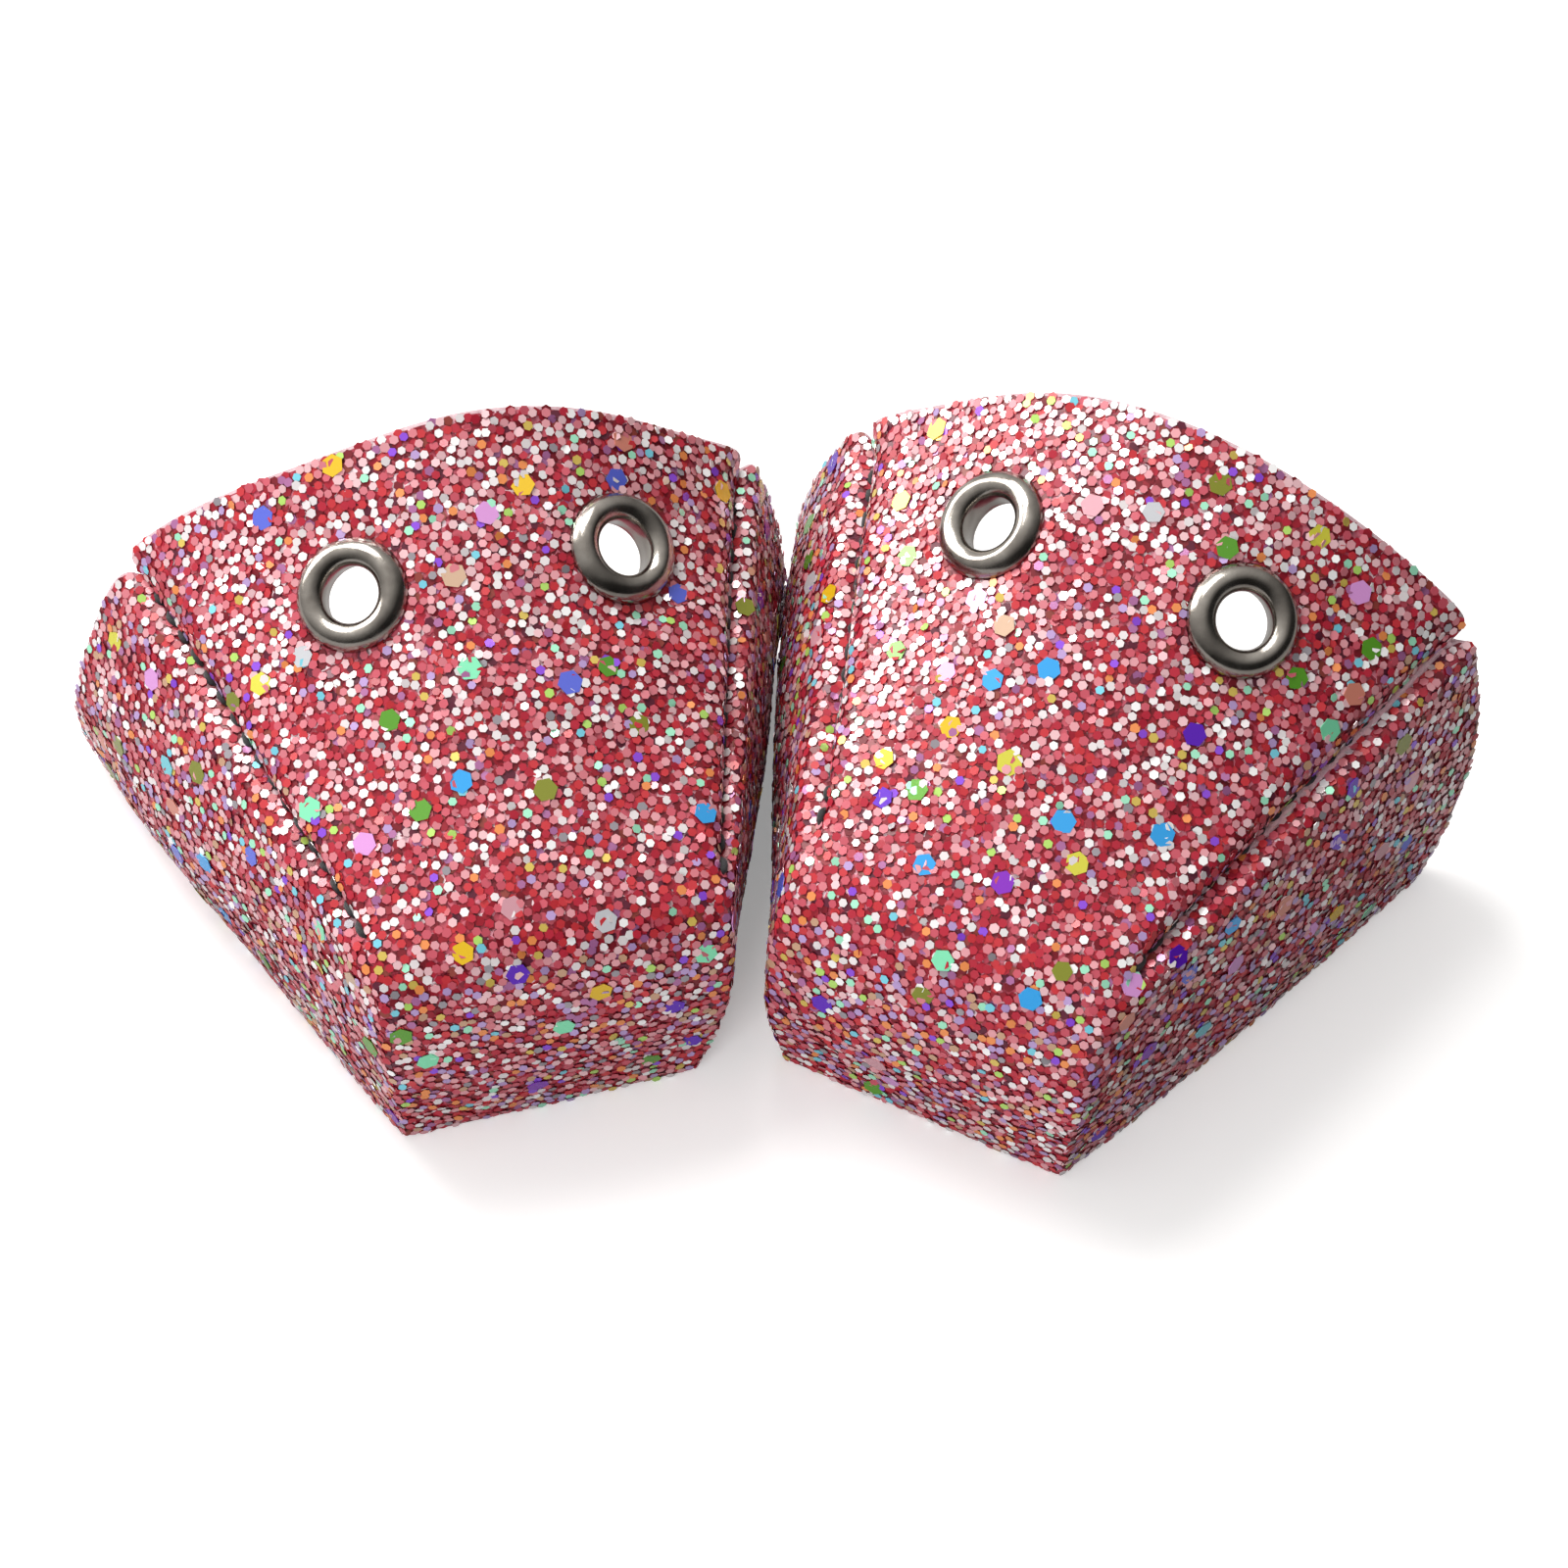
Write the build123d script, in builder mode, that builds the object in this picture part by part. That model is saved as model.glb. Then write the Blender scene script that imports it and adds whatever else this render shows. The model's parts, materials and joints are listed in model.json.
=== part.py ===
from build123d import *
import os

# Pair of toe guards for quad roller skates (sewn leather toe caps).
#
# Frame: millimetres, +Z up, guards resting on Z = 0, toes facing -Y,
# open rear ends facing +Y.  Origin on the ground, under the middle of the pair.
# Each guard is built in its own upright frame: local X across the guard,
# local Y from the toe back towards the ankle, local Z up.

# ---- leather, lining and sole panel
T_SHELL = 1.2            # glitter-faced outer leather
T_LINING = 0.8           # felt backing bonded to it
T_BASE = 1.6             # sole panel
TOE_R = 15.0             # roll between toe wall and top panel
CORNER_R = 3.6           # upright front corners
BASE_HOLE_R = 8.0        # clears a 5/8 in toe-stop stem
BASE_HOLE_Y = 27.0       # stem axis, local Y

# ---- side seams
GROOVE_R = 0.72          # sunk channel
GROOVE_START = 1.0       # behind the toe end of the seam
GROOVE_END_Y = 63.0
THREAD_R = 0.26
THREAD_START = 1.6       # behind the toe end of the seam
THREAD_END_Y = 56.0
THREAD_SINK = 0.42       # thread axis, in from the groove axis
SINK_ACROSS, SINK_DOWN = 0.72, 0.69    # direction of that sink

# ---- stitch line in the underside of the sole panel
STITCH_INSET = 2.6       # front run, in from the shell wall
STITCH_SIDE_INSET = STITCH_INSET + 2.2    # side runs, in from the rim
STITCH_REAR_GAP = 3.0    # ends this far in front of the rim's rear corner
STITCH_CORNER_R = 3.0
STITCH_GROOVE_W, STITCH_GROOVE_DEPTH = 0.9, 0.7
STITCH_THREAD_W, STITCH_THREAD_T = 0.56, 0.5
STITCH_THREAD_Z = 0.15   # underside of the thread

# ---- eyelets
EYELET_R = 6.0           # flange
EYELET_BORE_R = 3.0      # lace hole through the barrel
BARREL_R = EYELET_BORE_R + 0.35
BARREL_HOLE_R = BARREL_R + 0.05    # hole in leather, felt and washer
SEAT_R = 6.7             # leather pressed flat under the flange
SEAT_SINK = 0.35         # how far the flange pulls the leather down
SEAT_CUT = 6.0           # seat cutter reaches this far above and below
WASHER_R = 5.4
T_WASHER = 0.4
WASHER_EDGE_R = 0.15

# ---- construction forms, larger than the guards
STATIONS = (-6.0, 10.0, 26.0, 43.8, 58.0, 66.0)    # local Y of the loft sections
SECTION_BOTTOM = -3.0    # loft sections start below the ground
HALF_SPAN = 70.0         # half width of forms pulled out across the guard
ROOF_BOTTOM, ROOF_REAR_Y = -4.0, 78.0
ROOF_LIFT = 0.6          # roof line above the crown's end points
PUFF_RUN = 52.0          # length over which the wall puff grows to full
TRIM_FRONT_Y, TRIM_TOP = -20.0, 70.0

# "left" is the guard on -X, "right" the one on +X.
# pos, turn   plan position and rotation of the local frame
# outer_sign  local X sign of the side facing away from the other guard
# front       local Y of the toe wall
# crown       (y, z) of the top panel's centre line, toe to rear
# rear        (y, z) of the rear edge, bottom to top
# eyelets     local (x, y)
# sides, keyed by the sign of local X:
#   seam      (half width, y, z) at the toe end and at the rear corner
#   rim_toe   half width of the bottom rim at the toe
#   rim_rear  (half width, y) of the rim's rear corner
#   mid_rear  half width at mid height of the rear edge (the wall is puffed out)
GUARDS = {
    "left": {
        "pos": (-20.851, -31.75), "turn": 11.96, "outer_sign": -1, "front": 1.7,
        "crown": ((9.0, 31.0), (43.8, 43.4), (57.6, 49.4)),
        "rear": ((55.0, 0.0), (56.0, 18.5), (58.4, 32.4), (57.7, 49.6)),
        "sides": {
            -1: {"seam": ((17.7, 9.2, 29.1), (35.5, 58.7, 32.8)),
                 "rim_toe": 16.4, "rim_rear": (44.2, 55.4), "mid_rear": 44.3},
            1: {"seam": ((18.8, 8.9, 29.0), (31.0, 58.2, 32.0)),
                "rim_toe": 13.4, "rim_rear": (33.0, 52.4), "mid_rear": 34.0},
        },
        "eyelets": {"outer": (-13.1, 43.5), "inner": (15.5, 44.3)},
    },
    "right": {
        "pos": (16.709, -30.98), "turn": -25.07, "outer_sign": 1, "front": -0.9,
        "crown": ((10.0, 31.6), (45.0, 44.9), (59.2, 50.6)),
        "rear": ((50.5, 0.0), (56.5, 19.5), (58.9, 32.6), (59.3, 50.8)),
        "sides": {
            -1: {"seam": ((17.5, 11.1, 30.0), (32.9, 58.1, 32.1)),
                 "rim_toe": 15.1, "rim_rear": (36.8, 52.4), "mid_rear": 39.6},
            1: {"seam": ((17.6, 9.3, 29.2), (34.3, 59.6, 33.2)),
                "rim_toe": 14.4, "rim_rear": (38.5, 49.4), "mid_rear": 38.8},
        },
        "eyelets": {"inner": (-13.9, 45.6), "outer": (14.3, 45.6)},
    },
}


# ---------------------------------------------------------------- measures
def lerp(y, y0, v0, y1, v1):
    return v0 + (v1 - v0) * (y - y0) / (y1 - y0)


def crown_z(guard, y):
    """Height of the top panel along its centre line."""
    (y0, z0), (y1, z1), (y2, z2) = guard["crown"]
    if y < y0:
        return z0
    if y < y1:
        return lerp(y, y0, z0, y1, z1)
    return lerp(y, y1, z1, y2, z2)


def seam(side, y):
    """Half width and height of the side seam at station y."""
    (toe_half, toe_y, toe_z), (rear_half, rear_y, rear_z) = side["seam"]
    half = lerp(y, toe_y, toe_half, rear_y, rear_half)
    return half, lerp(max(y, toe_y), toe_y, toe_z, rear_y, rear_z)


def rim(guard, side, y):
    """Half width of the bottom rim at station y."""
    rear_half, rear_y = side["rim_rear"]
    return lerp(y, guard["front"], side["rim_toe"], rear_y, rear_half)


def top_z(guard, x, y):
    """Height of the arched top panel."""
    half, seam_z = seam(guard["sides"][1 if x > 0 else -1], y)
    centre_z = crown_z(guard, y)
    return centre_z - (centre_z - seam_z) * (abs(x) / half) ** 2


def side_points(guard, sign, y):
    """Outline of one side at station y: rim, two points on the puffed wall, seam."""
    side = guard["sides"][sign]
    rim_half = rim(guard, side, y)
    seam_half, seam_z = seam(side, y)
    full_puff = side["mid_rear"] - 0.5 * (side["seam"][1][0] + side["rim_rear"][0])
    puff = full_puff * max(0.0, min(1.0, (y - guard["front"]) / PUFF_RUN))
    return [
        (sign * (1.08 * rim_half - 0.08 * seam_half), SECTION_BOTTOM),
        (sign * (0.625 * rim_half + 0.375 * seam_half + puff), 0.36 * seam_z),
        (sign * (0.35 * rim_half + 0.65 * seam_half + 0.9 * puff), 0.68 * seam_z),
        (sign * seam_half, seam_z),
    ]


def section_outline(guard, y, inset):
    """Arch at station y, moved inwards by inset: 4 side, 7 top and 4 side points."""
    neg, plus = side_points(guard, -1, y), side_points(guard, 1, y)
    across = [neg[-1][0] * t for t in (0.82, 0.6, 0.3, 0.0)]
    across += [plus[-1][0] * t for t in (0.3, 0.6, 0.82)]
    outline = neg + [(x, top_z(guard, x, y)) for x in across] + plus[::-1]
    moved = []
    for i, (x, z) in enumerate(outline):
        before, after = outline[max(i - 1, 0)], outline[min(i + 1, len(outline) - 1)]
        dx, dz = after[0] - before[0], after[1] - before[1]
        length = (dx * dx + dz * dz) ** 0.5
        # up the -X side, over the top and down the +X side, the inside is on the right hand
        moved.append((x + inset * dz / length, z - inset * dx / length))
    for end in (0, -1):
        moved[end] = (moved[end][0], SECTION_BOTTOM)
    return moved


# ------------------------------------------------------------------ planes
def guard_plane(guard):
    across = Vector(1, 0, 0).rotate(Axis.Z, guard["turn"])
    return Plane(origin=(*guard["pos"], 0), x_dir=across, z_dir=(0, 0, 1))


def section_plane(frame, y):
    """Plane across the guard at station y: its X is across, its Y is up."""
    origin = frame.from_local_coords(Vector(0, y, 0))
    return Plane(origin=origin, x_dir=frame.x_dir, z_dir=-frame.y_dir)


def profile_plane(frame):
    """Upright plane along the guard's centre line: its X is rearward, its Y is up."""
    return Plane(origin=frame.origin, x_dir=frame.y_dir, z_dir=frame.x_dir)


def eyelet_plane(guard, frame, x, y):
    """Seat of an eyelet: origin on the pressed leather, Z out of the panel."""
    h = 0.5    # half step of the slope measurement
    slope_x = (top_z(guard, x + h, y) - top_z(guard, x - h, y)) / (2 * h)
    slope_y = (top_z(guard, x, y + h) - top_z(guard, x, y - h)) / (2 * h)
    normal = Vector(-slope_x, -slope_y, 1).normalized()
    origin = Vector(x, y, top_z(guard, x, y)) - normal * SEAT_SINK
    z_dir = frame.x_dir * normal.X + frame.y_dir * normal.Y + frame.z_dir * normal.Z
    x_dir = frame.y_dir.cross(z_dir).normalized()
    return Plane(origin=frame.from_local_coords(origin), x_dir=x_dir, z_dir=z_dir)


# ------------------------------------------------------------------- forms
def tunnel(guard, frame, inset):
    """Arched tunnel that widens and rises from toe to ankle."""
    with BuildPart() as form:
        for y in STATIONS:
            points = section_outline(guard, y, inset)
            with BuildSketch(section_plane(frame, y)):
                with BuildLine():
                    Spline(*points[:4])
                    Spline(*points[3:12])
                    Spline(*points[11:])
                    Line(points[-1], points[0])
                make_face()
        loft()
    return form.part


def roofline(guard, frame, inset):
    """Front wall, toe roll and roof, pulled out across the guard."""
    front_y = guard["front"] + inset
    (y0, z0), _, (y2, z2) = guard["crown"]
    slope = (z2 - z0) / (y2 - y0)
    lift = ROOF_LIFT - inset * (1 + slope * slope) ** 0.5
    front_top = z0 + slope * (front_y - y0) + lift
    rear_top = z0 + slope * (ROOF_REAR_Y - y0) + lift
    with BuildPart() as form:
        with BuildSketch(profile_plane(frame)):
            with BuildLine():
                Polyline((front_y, ROOF_BOTTOM), (front_y, front_top),
                         (ROOF_REAR_Y, rear_top), (ROOF_REAR_Y, ROOF_BOTTOM), close=True)
            make_face()
            toe_corner = vertices().sort_by_distance(Vector(front_y, front_top, 0))[0]
            fillet(toe_corner, TOE_R - inset)
        extrude(amount=HALF_SPAN, both=True)
    return form.part


def toe_form(guard, frame, inset):
    """Solid toe shape moved inwards by inset, front corners rounded."""
    with BuildPart() as form:
        add(tunnel(guard, frame, inset))
        add(roofline(guard, frame, inset), mode=Mode.INTERSECT)
        flat_faces = form.faces().filter_by(GeomType.PLANE)
        front = flat_faces.sort_by(Axis(frame.origin, frame.y_dir))[0]
        upright = [e for e in front.edges() if abs((e % 0.5).Z) > 0.8]
        fillet(upright, CORNER_R - inset)
    return form.part


def rear_trim(guard, frame):
    """Everything in front of the shaped rear edge and above the ground."""
    rear = guard["rear"]
    with BuildPart() as form:
        with BuildSketch(profile_plane(frame)):
            with BuildLine():
                Polyline((TRIM_FRONT_Y, 0), (TRIM_FRONT_Y, TRIM_TOP),
                         (rear[-1][0], TRIM_TOP), rear[-1])
                Spline(*rear[::-1])
                Line(rear[0], (TRIM_FRONT_Y, 0))
            make_face()
        extrude(amount=HALF_SPAN, both=True)
    return form.part


def seat_cutter(seat):
    """Disc that clears the panel around an eyelet."""
    with BuildPart() as form:
        with BuildSketch(seat.offset(-SEAT_CUT)):
            Circle(SEAT_R)
        extrude(amount=2 * SEAT_CUT)
    return form.part


def seat_ring(plane, thickness):
    """Flat ring that replaces the cleared panel, hanging below the plane."""
    with BuildPart() as form:
        with BuildSketch(plane):
            Circle(SEAT_R)
            Circle(BARREL_HOLE_R, mode=Mode.SUBTRACT)
        extrude(amount=-thickness)
    return form.part


def seam_cord(guard, frame, sign, sink, start_gap, end_y, radius):
    """Round cord along one side seam, sunk towards the inside of the guard."""
    side = guard["sides"][sign]
    ends = []
    for y in (side["seam"][0][1] + start_gap, end_y):
        half, z = seam(side, y)
        point = Vector(sign * (half - sink * SINK_ACROSS), y, z - sink * SINK_DOWN)
        ends.append(frame.from_local_coords(point))
    run = ends[1] - ends[0]
    with BuildPart() as form:
        with BuildSketch(Plane(origin=ends[0], z_dir=run.normalized())):
            Circle(radius)
        extrude(amount=run.length)
    return form.part


# ------------------------------------------------------------------ pieces
def make_shell(guard, frame, trim, shell_space, seats):
    """Top panel, toe roll, front wall and both wings in one piece."""
    with BuildPart() as shell:
        add(toe_form(guard, frame, 0.0))
        add(trim, mode=Mode.INTERSECT)
        add(shell_space, mode=Mode.SUBTRACT)
        for seat in seats:
            add(seat_cutter(seat), mode=Mode.SUBTRACT)
            add(seat_ring(seat, T_SHELL))
        for sign in (-1, 1):
            groove = seam_cord(guard, frame, sign, 0.0, GROOVE_START, GROOVE_END_Y, GROOVE_R)
            add(groove, mode=Mode.SUBTRACT)
    return shell.part


def make_lining(guard, frame, trim, shell_space, seats):
    """Felt lining, ending at the top of the sole panel."""
    with BuildPart() as lining:
        add(shell_space)
        add(trim, mode=Mode.INTERSECT)
        add(toe_form(guard, frame, T_SHELL + T_LINING), mode=Mode.SUBTRACT)
        with BuildSketch(frame.offset(T_BASE)):
            Rectangle(300, 300)
        extrude(amount=-20, mode=Mode.SUBTRACT)
        for seat in seats:
            add(seat_cutter(seat), mode=Mode.SUBTRACT)
            add(seat_ring(seat.offset(-T_SHELL), T_LINING))
    return lining.part


def stitch_corners(guard):
    """Corners of the U-shaped sole stitch line, open to the rear."""
    neg, plus = guard["sides"][-1], guard["sides"][1]
    front_y = guard["front"] + T_SHELL + STITCH_INSET
    rear_y = min(neg["rim_rear"][1], plus["rim_rear"][1]) - STITCH_REAR_GAP
    return ([(STITCH_SIDE_INSET - rim(guard, neg, y), y) for y in (rear_y, front_y)]
            + [(rim(guard, plus, y) - STITCH_SIDE_INSET, y) for y in (front_y, rear_y)])


def make_base_panel(guard, frame, trim, shell_space):
    """Sole panel with the toe-stop stem hole and a sunk stitch line."""
    with BuildPart() as base:
        with BuildSketch(frame):
            Rectangle(200, 200)
        extrude(amount=T_BASE)
        add(shell_space, mode=Mode.INTERSECT)
        add(trim, mode=Mode.INTERSECT)
        with BuildSketch(frame):
            with Locations((0, BASE_HOLE_Y)):
                Circle(BASE_HOLE_R)
        extrude(amount=T_BASE, mode=Mode.SUBTRACT)
        with BuildSketch(frame):
            with BuildLine():
                FilletPolyline(*stitch_corners(guard), radius=STITCH_CORNER_R)
            trace(line_width=STITCH_GROOVE_W)
        extrude(amount=STITCH_GROOVE_DEPTH, mode=Mode.SUBTRACT)
    return base.part


def make_base_thread(guard, frame):
    with BuildPart() as thread:
        with BuildSketch(frame.offset(STITCH_THREAD_Z)):
            with BuildLine():
                FilletPolyline(*stitch_corners(guard), radius=STITCH_CORNER_R)
            trace(line_width=STITCH_THREAD_W)
        extrude(amount=STITCH_THREAD_T)
    return thread.part


def make_eyelet(seat):
    """Domed flange, barrel and rolled end under the washer, as one revolved profile."""
    bore, barrel = EYELET_BORE_R, BARREL_R
    bottom = -(T_SHELL + T_LINING + T_WASHER)    # underside of the washer
    roll_z = bottom - 0.02
    with BuildPart() as eyelet:
        # profile plane: X is radial, Y is along the eyelet axis
        with BuildSketch(Plane(origin=seat.origin, x_dir=seat.x_dir, z_dir=-seat.y_dir)):
            with BuildLine():
                Line((bore, bottom - 0.45), (bore, 0.75))
                Spline((bore, 0.75), (3.35, 1.35), (4.4, 1.72), (5.45, 1.25),
                       (EYELET_R, 0.28), tangents=[(0, 1), (-0.12, -1)])
                Polyline((EYELET_R, 0.28), (EYELET_R - 0.18, 0.0), (barrel, 0.0),
                         (barrel, roll_z), (barrel + 0.55, roll_z))
                ThreePointArc((barrel + 0.55, roll_z), (barrel + 0.62, bottom - 0.4),
                              (bore + 0.35, bottom - 0.7))
                Line((bore + 0.35, bottom - 0.7), (bore, bottom - 0.45))
            make_face()
        revolve(axis=Axis(seat.origin, seat.z_dir))
    return eyelet.part


def make_washer(seat):
    """Backing washer against the inside of the lining."""
    with BuildPart() as washer:
        with BuildSketch(seat.offset(-T_SHELL - T_LINING)):
            Circle(WASHER_R)
            Circle(BARREL_HOLE_R, mode=Mode.SUBTRACT)
        extrude(amount=-T_WASHER)
        circles = washer.edges().filter_by(GeomType.CIRCLE)
        fillet(circles.sort_by(SortBy.RADIUS)[-1], WASHER_EDGE_R)
    return washer.part


def save(part, name):
    part.label = name
    export_step(part, "parts/" + name + ".step")


os.makedirs("parts", exist_ok=True)

for hand, guard in GUARDS.items():
    frame = guard_plane(guard)
    trim = rear_trim(guard, frame)
    shell_space = toe_form(guard, frame, T_SHELL)    # space inside the leather
    seats = {where: eyelet_plane(guard, frame, x, y)
             for where, (x, y) in guard["eyelets"].items()}

    save(make_shell(guard, frame, trim, shell_space, seats.values()), hand + "_shell")
    save(make_lining(guard, frame, trim, shell_space, seats.values()), hand + "_lining")
    save(make_base_panel(guard, frame, trim, shell_space), hand + "_base_panel")
    save(make_base_thread(guard, frame), hand + "_base_thread")

    for sign in (-1, 1):
        where = "outer" if sign == guard["outer_sign"] else "inner"
        thread = seam_cord(guard, frame, sign, THREAD_SINK, THREAD_START, THREAD_END_Y, THREAD_R)
        save(thread, f"{hand}_{where}_seam_thread")

    for where, seat in seats.items():
        save(make_eyelet(seat), f"{hand}_{where}_eyelet")
        save(make_washer(seat), f"{hand}_{where}_washer")
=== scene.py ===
"""A pair of glitter-leather toe guards with felt linings, nickel eyelets and stitched soles.

The guards stand on the floor (z = 0), the left one at negative x. In each guard's own
frame x runs across, y from the toe back and z up. Sizes are in millimetres unless a
name or comment says metres; row frame points are in metres.
"""
import bpy, json, math
import numpy as np
from collections import namedtuple
from itertools import product
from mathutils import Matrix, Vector
from mathutils.kdtree import KDTree


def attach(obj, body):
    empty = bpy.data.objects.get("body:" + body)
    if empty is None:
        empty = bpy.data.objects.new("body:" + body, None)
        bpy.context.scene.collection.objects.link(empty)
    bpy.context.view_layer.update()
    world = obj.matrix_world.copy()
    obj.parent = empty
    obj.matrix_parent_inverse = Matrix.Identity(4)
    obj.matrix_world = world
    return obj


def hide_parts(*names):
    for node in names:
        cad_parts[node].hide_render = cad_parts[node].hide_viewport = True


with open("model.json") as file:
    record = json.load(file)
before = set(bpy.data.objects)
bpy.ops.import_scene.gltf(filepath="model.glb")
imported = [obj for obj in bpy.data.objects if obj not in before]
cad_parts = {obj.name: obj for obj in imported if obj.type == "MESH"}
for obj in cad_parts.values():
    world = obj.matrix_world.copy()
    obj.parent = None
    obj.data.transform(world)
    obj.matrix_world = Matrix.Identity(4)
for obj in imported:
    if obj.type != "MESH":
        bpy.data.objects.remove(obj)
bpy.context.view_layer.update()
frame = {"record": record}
MOUNTS = {m["name"]: m for m in frame["record"]["mounts"]}
LEVEL = 3          # subdivision level of the leather
MM = 0.001

# ------------------------------------------------------------------ design sizes
T_SHELL, T_LINING, T_BASE = 1.2, 0.8, 1.6      # thickness of leather, felt and sole
STEM_R, STEM_Y = 8.0, 27.0                     # round hole in the sole
SEAT_LIFT = 1.05                               # eyelet seat above its mount, along the axis
SEAM_SINK, SEAM_PUFF = 1.9, 0.75               # depth of a seam groove, swell beside it
GROOVE_RUN = 0.09                              # share of the seam over which the groove starts

# One side of a guard. Points give (half width, y, z); rim points lie at z = 0.
# groove: depth factor of the seam groove; tuck: how far the top rear corner is set in;
# flank: fullness low on the wall; belly: fullness near the toe.
Wing = namedtuple("Wing", "seam_toe seam_rear mid_rear rim_rear rim_toe groove tuck flank belly")

# place: row frame x, y; turn: degrees about z; crown: (y, z) stations of the centre line;
# rear_mid: y of the rear edge at the centre; arc: power of the rear edge arch;
# bows: (centre, width, height) of waves in the rear edge; wings: by sign of local x.
Guard = namedtuple("Guard", "place turn crown rear_mid arc bows wander_seed detail_seed wings")
GUARDS = {
    "left": Guard(
        place=(-20.851, -31.75), turn=11.96,
        crown=((9.0, 31.0), (43.8, 43.4), (57.6, 49.4)), rear_mid=57.9, arc=2.2,
        bows=((-0.42, 0.25, -1.0), (-0.78, 0.14, 0.6), (0.35, 0.30, 0.45)),
        wander_seed=5, detail_seed=11,
        wings={
            -1: Wing(seam_toe=(17.7, 9.2, 29.1), seam_rear=(35.5, 58.7, 32.8),
                     mid_rear=(44.4, 54.8, 18.4), rim_rear=(44.2, 55.4), rim_toe=(17.2, 1.2),
                     groove=0.85, tuck=1.2, flank=0.9, belly=0.3),
            1: Wing(seam_toe=(18.8, 8.9, 29.0), seam_rear=(31.0, 58.2, 32.0),
                    mid_rear=(35.0, 57.6, 20.6), rim_rear=(33.0, 52.8), rim_toe=(13.6, 2.6),
                    groove=1.05, tuck=0.3, flank=0.2, belly=1.5),
        }),
    "right": Guard(
        place=(16.709, -30.98), turn=-25.07,
        crown=((10.0, 31.6), (45.0, 44.9), (59.2, 50.6)), rear_mid=60.0, arc=2.7,
        bows=((-0.35, 0.30, 0.6), (0.84, 0.20, 0.8)),
        wander_seed=8, detail_seed=29,
        wings={
            -1: Wing(seam_toe=(17.5, 11.1, 30.0), seam_rear=(32.9, 58.1, 32.1),
                     mid_rear=(40.0, 56.2, 20.0), rim_rear=(36.8, 52.4), rim_toe=(15.4, -0.9),
                     groove=0.95, tuck=0.3, flank=0.2, belly=1.6),
            1: Wing(seam_toe=(17.6, 9.3, 29.2), seam_rear=(34.7, 59.8, 33.2),
                    mid_rear=(39.4, 58.8, 21.0), rim_rear=(38.5, 49.4), rim_toe=(15.6, -0.9),
                    groove=1.35, tuck=0.3, flank=1.3, belly=0.3),
        }),
}

# Control cage stations: p across the top (-1 to 1), q toe to rear, tau seam (1) to rim (0)
P_COLS = [-1.0, -0.945, -0.83, -0.66, -0.44, -0.22, 0.0, 0.22, 0.44, 0.66, 0.83, 0.945, 1.0]
Q_ROWS = [0.0, 0.045, 0.11, 0.2, 0.31, 0.42, 0.53, 0.64, 0.75, 0.86, 0.945, 1.0]
T_ROWS = [1.0, 0.962, 0.885, 0.77, 0.63, 0.48, 0.33, 0.19, 0.075, 0.0]
LAST_COL, LAST_ROW = len(P_COLS) - 1, len(Q_ROWS) - 1


# ------------------------------------------------------------------ small helpers
def lerp(y, y0, v0, y1, v1):
    return v0 + (v1 - v0) * (y - y0) / (y1 - y0)


def smooth(t):
    t = max(0.0, min(1.0, t))
    return t * t * (3 - 2 * t)


def unit(v):
    return v / np.linalg.norm(v)


def unit_rows(v):
    return v / np.linalg.norm(v, axis=1)[:, None]


def cross_axes(axis, ref):
    """Two directions square to a unit axis and to each other."""
    first = unit(np.cross(axis, ref))
    return first, np.cross(axis, first)


def to_row(guard, points):
    """Guard frame millimetres to row frame metres."""
    turn = math.radians(guard.turn)
    c, s = math.cos(turn), math.sin(turn)
    points = np.asarray(points, float)
    x = guard.place[0] + c * points[..., 0] - s * points[..., 1]
    y = guard.place[1] + s * points[..., 0] + c * points[..., 1]
    return np.stack([x, y, points[..., 2]], -1) * MM


def seat_of(hand, where):
    """Centre (metres) and unit axis of an eyelet seat."""
    mount = MOUNTS[f"{hand}_{where}_lace_eyelet"]
    axis = unit(np.array(mount["axis"], float))
    return np.array(mount["pos_m"], float) + axis * SEAT_LIFT * MM, axis


def seat_distances(points, centre, axis):
    """Height over a seat and distance from its axis, in metres."""
    offset = points - centre
    height = offset @ axis
    return height, np.linalg.norm(offset - height[:, None] * axis, axis=1)


def near_seats(points, seats, radius, depth):
    hit = np.zeros(len(points), bool)
    for centre, axis in seats:
        height, dist = seat_distances(points, centre, axis)
        hit |= (dist < radius * MM) & (np.abs(height) < depth * MM)
    return hit


# ------------------------------------------------------------------ guard surface
def wing_of(guard, p):
    return guard.wings[-1 if p < 0 else 1]


def crown_z(guard, y):
    (y0, z0), (y1, z1), (y2, z2) = guard.crown
    if y < y0:
        return z0
    return lerp(y, y0, z0, y1, z1) if y < y1 else lerp(y, y1, z1, y2, z2)


def seam_at(wing, q):
    """Half width, y and z of the seam at share q of its length."""
    return [toe + (rear - toe) * q for toe, rear in zip(wing.seam_toe, wing.seam_rear)]


def toe_roll(tau, start=0.40):
    """Share of the toe setback reached at height share tau."""
    if tau <= start:
        return 0.0
    u = (tau - start) / (1 - start)
    return 1 - math.sqrt(max(0.0, 1 - u * u * 0.985))


def rear_y(wing, tau):
    """Rear edge: a parabola through the rim, middle and seam points."""
    mid = wing.mid_rear[2] / wing.seam_rear[2]
    rim, middle, seam = wing.rim_rear[1], wing.mid_rear[1], wing.seam_rear[1]
    return (rim * (tau - mid) * (tau - 1) / mid
            + middle * tau * (tau - 1) / (mid * (mid - 1))
            + seam * tau * (tau - mid) / (1 - mid))


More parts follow.
